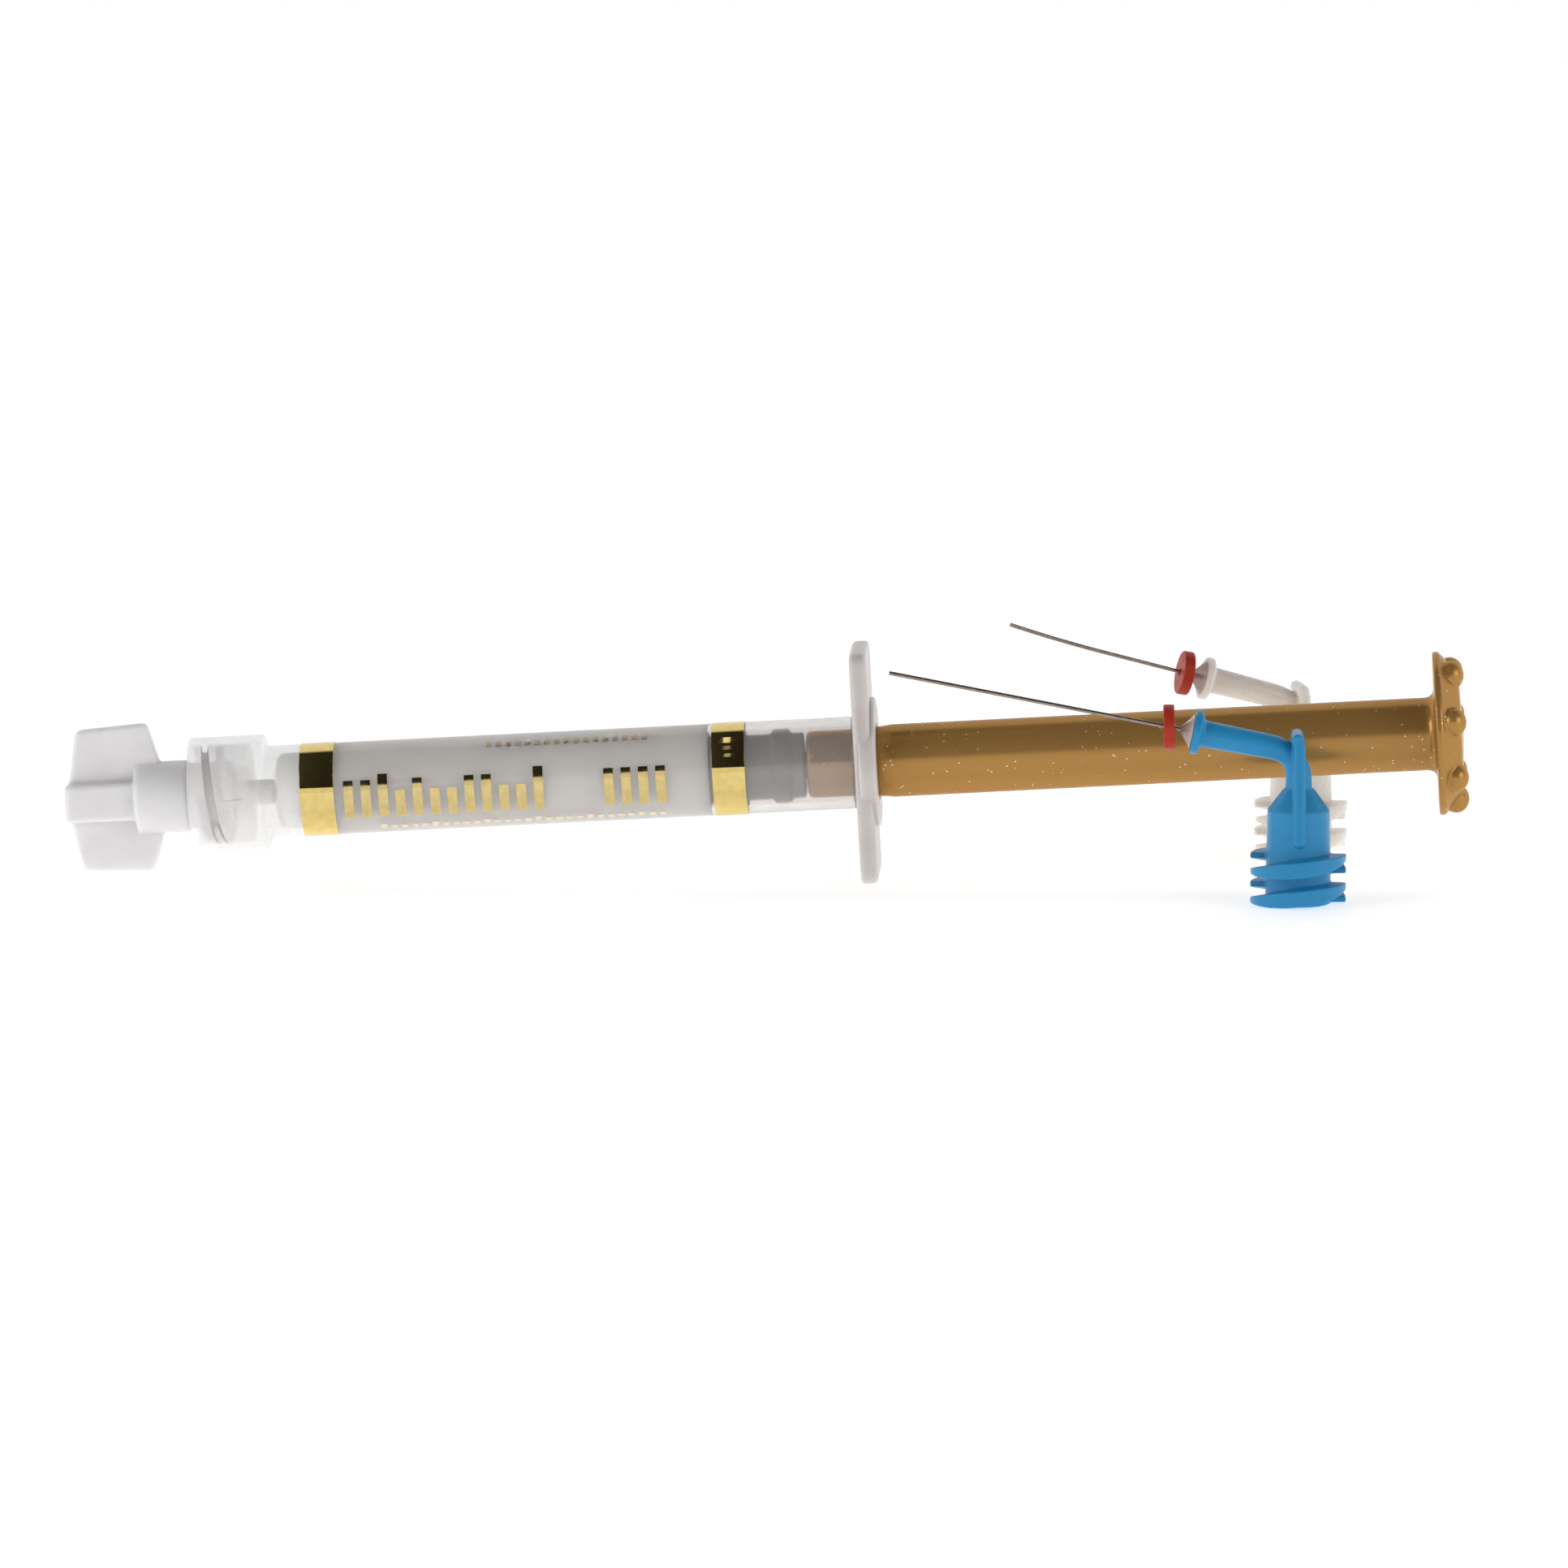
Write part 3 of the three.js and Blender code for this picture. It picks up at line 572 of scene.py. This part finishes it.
def build_paste():
    """Paste in the bore, on a mesh of its own, and paste in the nozzle."""
    bm = bmesh.new()
    turned(bm, [(0, BORE_FLOOR), (BORE_R - 0.4, BORE_FLOOR + 0.02), (BORE_R + WET, BORE_FLOOR + 0.5, 0.2),
                (BORE_R + WET, PASTE_RING_END, 0.05), (STOPPER_R + 0.02, PASTE_RING_END),
                (STOPPER_R + 0.02, STOPPER_FRONT + 0.4), (STOPPER_R - 0.4, STOPPER_FRONT - 0.02, 0.2),
                (0, STOPPER_FRONT - 0.02)])
    charge = piece("paste_in_bore", finished(bm, SYRINGE), PASTE, "barrel", ["paste_charge"])
    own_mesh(charge)
    nozzle = bmesh.new()
    turned(nozzle, [(0, NOZZLE_TIP + 0.06), (NOZZLE_BORE_R + WET, NOZZLE_TIP + 0.1, 0.1),
                    (NOZZLE_BORE_R + WET, NOZZLE_BORE_END - 0.1), (0, BORE_FLOOR - 0.1)], 48)
    piece("paste_in_nozzle", finished(nozzle, SYRINGE), PASTE, "barrel")


def build_stopper():
    """Grey rubber stopper whose two ribs seal against the bore."""
    knob_start = ROD_FRONT - NECK_LENGTH - KNOB_LENGTH
    outline = [(0, STOPPER_FRONT), (STOPPER_R, STOPPER_FRONT, 0.5)]
    for start, end in STOPPER_RIBS:
        outline += [(STOPPER_R, start - RIB_SLOPE, 0.15), (BORE_R - 0.01, start, 0.25),
                    (BORE_R - 0.01, end, 0.25), (STOPPER_R, end + RIB_SLOPE, 0.15)]
    pocket_start, pocket_end = knob_start - KNOB_GAP, knob_start + KNOB_LENGTH + KNOB_GAP
    neck_r, pocket_r = NECK_R + KNOB_GAP, KNOB_R + KNOB_GAP
    outline += [(STOPPER_R, STOPPER_BACK, 0.25), (neck_r, STOPPER_BACK, 0.1), (neck_r, pocket_end),
                (pocket_r, pocket_end), (pocket_r, pocket_start), (0, pocket_start)]
    bm = bmesh.new()
    turned(bm, outline)
    piece("stopper_ribbed", finished(bm, SYRINGE), STOPPER_RUBBER, "plunger",
          ["plunger_stopper"])


def build_plunger():
    """The rod with its nose knob, and the domed thumb pad with its ring of grip bumps."""
    knob_start = ROD_FRONT - NECK_LENGTH - KNOB_LENGTH
    bm = bmesh.new()
    turned(bm, [
        (0, knob_start), (KNOB_R, knob_start, 0.4), (KNOB_R, knob_start + KNOB_LENGTH, 0.15),
        (NECK_R, knob_start + KNOB_LENGTH, 0.1), (NECK_R, ROD_FRONT, 0.1), (ROD_NOSE_R, ROD_FRONT, 0.5),
        (ROD_NOSE_R, ROD_NOSE_END, 0.5), (ROD_R, ROD_CONE_END, 0.5), (ROD_R, PAD_START + 0.3),
        (0, PAD_START + 0.3),
    ], FINE_SIDES)
    rod = finished(bm, SYRINGE)
    pad = bmesh.new()
    rim_end, inside_rod = PAD_START + PAD_RIM, ROD_R - 0.01
    turned(pad, [(0, PAD_FILLET_START), (inside_rod, PAD_FILLET_START),
                 (inside_rod, PAD_START, PAD_FILLET_R), (PAD_R, PAD_START, 0.15), (PAD_R, rim_end, 0.25),
                 (PAD_DOME_R, PAD_DOME_END - 0.25, 1.2), (0, PAD_DOME_END)], FINE_SIDES)
    bump_middle = PAD_BUMP_END - PAD_BUMP_R * PAD_BUMP_FLAT
    for i in range(PAD_BUMPS):
        turn = math.radians(PAD_FIRST_BUMP + 360 * i / PAD_BUMPS)
        centre = (-PAD_BUMP_RING * math.cos(turn), PAD_BUMP_RING * math.sin(turn), bump_middle)
        ball = Matrix.Translation(centre) @ Matrix.Diagonal((1, 1, PAD_BUMP_FLAT, 1))
        bmesh.ops.create_uvsphere(pad, u_segments=32, v_segments=20, radius=PAD_BUMP_R, matrix=ball)
    cap = finished(pad, SYRINGE, remesh=0.09, smooth=5)
    joined = bmesh.new()
    joined.from_mesh(rod)
    joined.from_mesh(cap)
    piece("plunger_bronze", finished(joined, Matrix()), BRONZE, "plunger",
          ["plunger_rod"])


def wrapped(bm, start, end, low, high):
    """A patch of foil on the barrel from start to end, between two angles up from the viewer's side."""
    columns = max(2, int((high - low) / 4) + 1)
    inner = BARREL_R + MARK_GAP
    rings = []
    for radius in (inner, inner + MARK_THICK):
        for z in (start, end):
            rings.append([
                bm.verts.new((-radius * math.cos(t), radius * math.sin(t), z))
                for t in (math.radians(low + (high - low) * k / columns) for k in range(columns + 1))
            ])
    inner_start, inner_end, outer_start, outer_end = rings
    loop = [inner_start, inner_end, outer_end, outer_start]
    add_rings(bm, loop, closed_rings=False, close_ends=True)
    for k in (0, -1):
        bm.faces.new([ring[k] for ring in loop])


def dashes(bm, count, start, pitch, length, low, short_top, tall_every, tall_top):
    """A row of fine dashes along the barrel, of which every so many stands a little taller."""
    for k in range(count):
        place = start + k * pitch
        wrapped(bm, place, place + length, low, short_top if k % tall_every else tall_top)


def build_foil():
    """Two gold bands, and plain gold marks between them where such syringes carry their print."""
    for name, (start, end), finish in (("front", FRONT_BAND, GOLD), ("rear", REAR_BAND, GOLD_WAVY)):
        bm = bmesh.new()
        inner, outer = BARREL_R + BAND_GAP, BARREL_R + BAND_GAP + BAND_THICK
        turned(bm, [(inner, start), (outer, start, 0.02), (outer, end, 0.02), (inner, end)], 160)
        piece(f"gold_band_{name}", finished(bm, SYRINGE), finish, "barrel",
              [f"foil_band_{name}"])
    bars = bmesh.new()
    for first, tops in BAR_ROWS:
        for k, top in enumerate(tops):
            start = first + k * BAR_PITCH
            wrapped(bars, start, start + BAR_STROKE, BAR_FOOT, top)
    piece("gold_marks", finished(bars, SYRINGE), PRINT_GOLD, "barrel")
    lines = bmesh.new()
    dashes(lines, count=17, start=35.0, pitch=0.8, length=0.45,
           low=54, short_top=65, tall_every=4, tall_top=69)
    dashes(lines, count=28, start=26.0, pitch=0.85, length=0.5,
           low=-56, short_top=-49, tall_every=5, tall_top=-46)
    piece("fine_marks", finished(lines, SYRINGE), PRINT_FINE, "barrel")


# ------------------------------------------------------------------ delivery tips

def arm_path(slope):
    """Centre line of the channel: up out of the neck, round the elbow and out along the arm."""
    crossing = Vector((0, 0, ARM_HEIGHT))
    out = Vector((math.cos(slope), 0, math.sin(slope)))
    bend_start, bend_end = crossing - Vector((0, 0, ARM_BEND)), crossing + out * ARM_BEND
    path = [Vector((0, 0, HUB_SOCKET + 0.5)), bend_start - Vector((0, 0, 0.4))]
    path += [bend_start * (1 - t) ** 2 + crossing * 2 * t * (1 - t) + bend_end * t * t
             for t in (k / ARM_BEND_STEPS for k in range(ARM_BEND_STEPS + 1))]
    path += [bend_end + out * (ARM_LENGTH - ARM_BEND) * k / ARM_STEPS for k in range(1, ARM_STEPS + 1)]
    return path


def arm_frame(slope):
    """A frame whose z runs out along the arm, with its zero at the arm's outer end."""
    out = Vector((math.cos(slope), 0, math.sin(slope)))
    across = Vector((0, 1, 0))
    turn = Matrix((across, out.cross(across), out)).transposed().to_4x4()
    return Matrix.Translation(Vector((0, 0, ARM_HEIGHT)) + out * ARM_LENGTH) @ turn


def build_hub(name, upright, slope, finish):
    """The hub: body and neck, bent arm with its end disc, fin with its knob, ridges and Luer socket."""
    bm = bmesh.new()
    turned(bm, [(0, 0.01), (HUB_FOOT_R, 0.01, 0.12), (HUB_SHOULDER_R, HUB_BODY_TOP, 0.3),
                (HUB_NECK_R, HUB_NECK_TOP, 0.4), (0, HUB_NECK_TOP)], 96)
    path = arm_path(slope)
    elbow = 3 + ARM_BEND_STEPS // 2
    radii = []
    for i in range(len(path)):
        to_end = elbow if i < elbow else len(path) - elbow
        radii.append(ELBOW_R + (ARM_R - ELBOW_R) * min(1, abs(i - elbow) / to_end))
    pipe(bm, path, radii, sides=40)
    outwards = arm_frame(slope)
    turned(bm, [(0, -0.3), (ARM_R, -0.3, 0.15), (DISC_R, -0.05, 0.1), (DISC_R, DISC_THICK, 0.14),
                (0, DISC_THICK)], 64, outwards)
    fin = [(-FIN_HALF, FIN_BOTTOM, 0.5), (FIN_HALF, FIN_BOTTOM, 0.5), (FIN_TOP_HALF, FIN_TOP, 0.3),
           (-FIN_TOP_HALF, FIN_TOP, 0.3)]
    plate(bm, fin, FIN_THICK, 0.36, EDGE_ON)
    knob_place = Matrix.Translation((FIN_KNOB_OUT, 0, KNOB_TOP - FIN_KNOB_R))
    lying = knob_place @ Matrix.Rotation(math.pi / 2, 4, "X")
    turned(bm, [(0, -FIN_TOP_HALF), (FIN_KNOB_R, -FIN_TOP_HALF, 0.5), (FIN_KNOB_R, FIN_TOP_HALF, 0.5),
                (0, FIN_TOP_HALF)], 32, lying)
    for pair in range(HUB_RIDGE_PAIRS):
        start = HUB_RIDGE_START + pair * HUB_RIDGE_STEP
        for from_turn in (0, 0.5):
            ridge(bm, HUB_RIDGE, start, from_turn, turns=0.5, lens=0.3, steps=40)
    socket = bmesh.new()
    floor_r = HUB_MOUTH_R - LUER_TAPER * HUB_SOCKET
    turned(socket, [(0, -1), (HUB_MOUTH_R + LUER_TAPER, -1), (floor_r, HUB_SOCKET), (0, HUB_SOCKET)], 64)
    mesh = finished(bm, upright, remesh=0.075, smooth=4, cut=socket)
    piece(f"{name}_hub_moulding", mesh, finish, f"{name}_tip", [f"{name}_hub"], 0)
    return outwards


def build_cone(name, upright, outwards):
    """The clear nose cone that holds the cannula in the arm's end."""
    cone = bmesh.new()
    start, hole = DISC_THICK + 0.01, CANNULA_R + 0.01
    turned(cone, [(hole, start), (CONE_R, start, 0.08), (CONE_R * 0.55, start + CONE_LENGTH / 2, 0.5),
                  (CONE_NOSE_R, start + CONE_LENGTH, 0.06), (hole, start + CONE_LENGTH)], 48, outwards)
    piece(f"{name}_cone", finished(cone, upright), CONE_CLEAR, f"{name}_tip",
          [f"{name}_nose_cone"])


def build_needle(name, upright, outwards):
    """The cannula: straight out of the cone, then curling up evenly to its end."""
    tip = TIPS[name]
    length = tip["needle"] + DISC_THICK
    bend_length, turn = length - CANNULA_STRAIGHT, math.radians(tip["curl"])
    path = []
    for k in range(CANNULA_STEPS + 1):
        reach = -CANNULA_SUNK + (length + CANNULA_SUNK) * k / CANNULA_STEPS
        past = max(0, reach - CANNULA_STRAIGHT)
        lift, along = 0, reach
        if turn and past:
            angle, radius = turn * past / bend_length, bend_length / turn
            lift, along = radius * (1 - math.cos(angle)), CANNULA_STRAIGHT + radius * math.sin(angle)
        path.append(outwards @ Vector((0, lift, along)))
    needle = bmesh.new()
    pipe(needle, path, [CANNULA_R] * len(path), bore=CANNULA_BORE_R)
    piece(f"{name}_needle", finished(needle, upright), STEEL, f"{name}_tip",
          [f"{name}_cannula"])


def build_stop(name, upright, outwards):
    """The red depth stop, a little askew on the cannula."""
    tip, half = TIPS[name], STOP_THICK / 2
    disc = bmesh.new()
    lean = Matrix.Translation((0, 0, DISC_THICK + tip["stop_ahead"] + half)) @ Matrix.Rotation(
        math.radians(tip["stop_lean"]), 4, "X")
    turned(disc, [(STOP_HOLE_R, -half, 0.05), (STOP_R, -half, 0.16), (STOP_R, half, 0.16),
                  (STOP_HOLE_R, half, 0.05)], 80, outwards @ lean)
    piece(f"{name}_stop_disc", finished(disc, upright), SILICONE, f"{name}_stop",
          [f"{name}_depth_stop"])


def build_tip(name, finish):
    upright, slope = tip_frames(name)
    outwards = build_hub(name, upright, slope, finish)
    build_cone(name, upright, outwards)
    build_needle(name, upright, outwards)
    build_stop(name, upright, outwards)


build_cap()
build_barrel()
build_paste()
build_stopper()
build_plunger()
build_foil()
build_tip("blue", BLUE)
build_tip("white", WHITE)


# ------------------------------------------------------------------ floor, light and camera

# The room's light: a bright backdrop from WALL_FADE[0] to WALL_FADE[1] behind, a low bright wall all round
# up to LOW_WALL (both as sines of an angle), a glow at the two sides, and a dim rest.
WALL_FADE, LOW_WALL = (0.34, 0.52), 0.2
WALL_LIGHT, SIDE_LIGHT, DIM_LIGHT = 0.9, 0.4, 0.022
FLOOR_HALF, FLOOR_GLOW = 3.0, 0.55
SOFT_BOX_PLACE, SOFT_BOX_SIZE, LEFT_WATTS, RIGHT_WATTS = (0.75, -0.45, 0.35), (0.6, 0.5), 2.8, 2.1
STREAK_AWAY, STREAK_WIDE = 0.35, 0.014
CAMERA_AZIMUTH, CAMERA_ELEVATION, CAMERA_AWAY = math.radians(2.6), math.radians(9), 0.85
CAMERA_TARGET, CAMERA_FIELD = Vector((0.0015, -0.0024, 0.0077)), math.radians(8.665)
SENSOR_WIDTH = 36


def build_floor():
    bm = bmesh.new()
    bmesh.ops.create_grid(bm, x_segments=8, y_segments=8, size=FLOOR_HALF)
    mesh = bpy.data.meshes.new("floor")
    bm.to_mesh(mesh)
    bm.free()
    paper = material("white_table", (0.92, 0.92, 0.92), 0.6)
    shader_of(paper).inputs["Emission Color"].default_value = (1, 1, 1, 1)
    shader_of(paper).inputs["Emission Strength"].default_value = FLOOR_GLOW
    mesh.materials.append(paper)
    table = bpy.data.objects.new("floor", mesh)
    bpy.context.scene.collection.objects.link(table)


def build_world():
    """A bright backdrop low behind the table, and a dim room above and in front of it."""
    world = bpy.data.worlds.new("studio")
    world.use_nodes = True
    bpy.context.scene.world = world
    tree = world.node_tree
    way = tree.nodes.new("ShaderNodeTexCoord")
    parts = tree.nodes.new("ShaderNodeSeparateXYZ")
    tree.links.new(way.outputs["Generated"], parts.inputs[0])

    def maths(operation, a, b=None):
        step = tree.nodes.new("ShaderNodeMath")
        step.operation = operation
        for socket, value in zip(step.inputs, (a, b)):
            if isinstance(value, (int, float)):
                socket.default_value = value
            elif value is not None:
                tree.links.new(value, socket)
        return step.outputs[0]

    y, z = parts.outputs["Y"], parts.outputs["Z"]
    across = maths("SQRT", maths("ADD", maths("MULTIPLY", y, y), maths("MULTIPLY", z, z)))
    behind = maths("DIVIDE", y, maths("MAXIMUM", across, 0.001))
    rise = tree.nodes.new("ShaderNodeMapRange")
    rise.interpolation_type = "SMOOTHSTEP"
    rise.inputs["From Min"].default_value, rise.inputs["From Max"].default_value = WALL_FADE
    rise.inputs["To Min"].default_value = 0.0
    rise.inputs["To Max"].default_value = 1.0
    tree.links.new(behind, rise.inputs["Value"])
    below = maths("LESS_THAN", z, maths("MULTIPLY", across, LOW_WALL))
    bright = maths("MAXIMUM", rise.outputs["Result"], below)
    sides = maths("POWER", maths("ABSOLUTE", parts.outputs["X"]), 2.0)
    rest = maths("ADD", DIM_LIGHT, maths("MULTIPLY", sides, SIDE_LIGHT))
    level = maths("ADD", maths("MULTIPLY", bright, WALL_LIGHT), rest)
    seen = tree.nodes.new("ShaderNodeLightPath")
    shown = maths("MAXIMUM", level, seen.outputs["Is Camera Ray"])
    background = tree.nodes["Background"]
    background.inputs["Color"].default_value = (1, 1, 1, 1)
    tree.links.new(shown, background.inputs["Strength"])


def add_light(name, place, aim, size, watts):
    lamp = bpy.data.lights.new(name, "AREA")
    lamp.shape, lamp.size, lamp.size_y = "RECTANGLE", size[0], size[1]
    lamp.energy = watts
    holder = bpy.data.objects.new(name, lamp)
    holder.location = place
    holder.rotation_mode = "QUATERNION"
    holder.rotation_quaternion = (Vector(aim) - Vector(place)).to_track_quat("-Z", "Y")
    bpy.context.scene.collection.objects.link(holder)


def build_streak_lamps():
    """Small lamps in front, so narrow and so placed that they show as streaks in the rear foil band."""
    for name, elevation, side, high, radiance in (("upper", 84, -0.0437, 0.1, 1.1),
                                                  ("middle", 62, -0.0414, 0.06, 0.3),
                                                  ("lower", 43, -0.0372, 0.05, 0.5)):
        turn = math.radians(elevation)
        place = (side, -STREAK_AWAY * math.cos(turn), STREAK_AWAY * math.sin(turn))
        watts = radiance * math.pi * high * STREAK_WIDE
        add_light(f"{name}_streak_lamp", place, (side, 0, 0), (STREAK_WIDE, high), watts)


def build_camera():
    level = math.cos(CAMERA_ELEVATION)
    back = Vector((math.sin(CAMERA_AZIMUTH) * level, -math.cos(CAMERA_AZIMUTH) * level,
                   math.sin(CAMERA_ELEVATION)))
    lens = bpy.data.cameras.new("camera")
    lens.sensor_width = SENSOR_WIDTH
    lens.lens = SENSOR_WIDTH / 2 / math.tan(CAMERA_FIELD / 2)
    lens.clip_start, lens.clip_end = 0.01, 20
    camera = bpy.data.objects.new("camera", lens)
    camera.location = CAMERA_TARGET + back * CAMERA_AWAY
    camera.rotation_mode = "QUATERNION"
    camera.rotation_quaternion = (-back).to_track_quat("-Z", "Y")
    bpy.context.scene.collection.objects.link(camera)
    bpy.context.scene.camera = camera


build_floor()
build_world()
add_light("right_soft_box", SOFT_BOX_PLACE, (0, 0, 0), SOFT_BOX_SIZE, RIGHT_WATTS)
add_light("left_soft_box", (-SOFT_BOX_PLACE[0], *SOFT_BOX_PLACE[1:]), (0, 0, 0), SOFT_BOX_SIZE, LEFT_WATTS)
build_streak_lamps()
build_camera()
bpy.context.scene.view_settings.view_transform = "Standard"
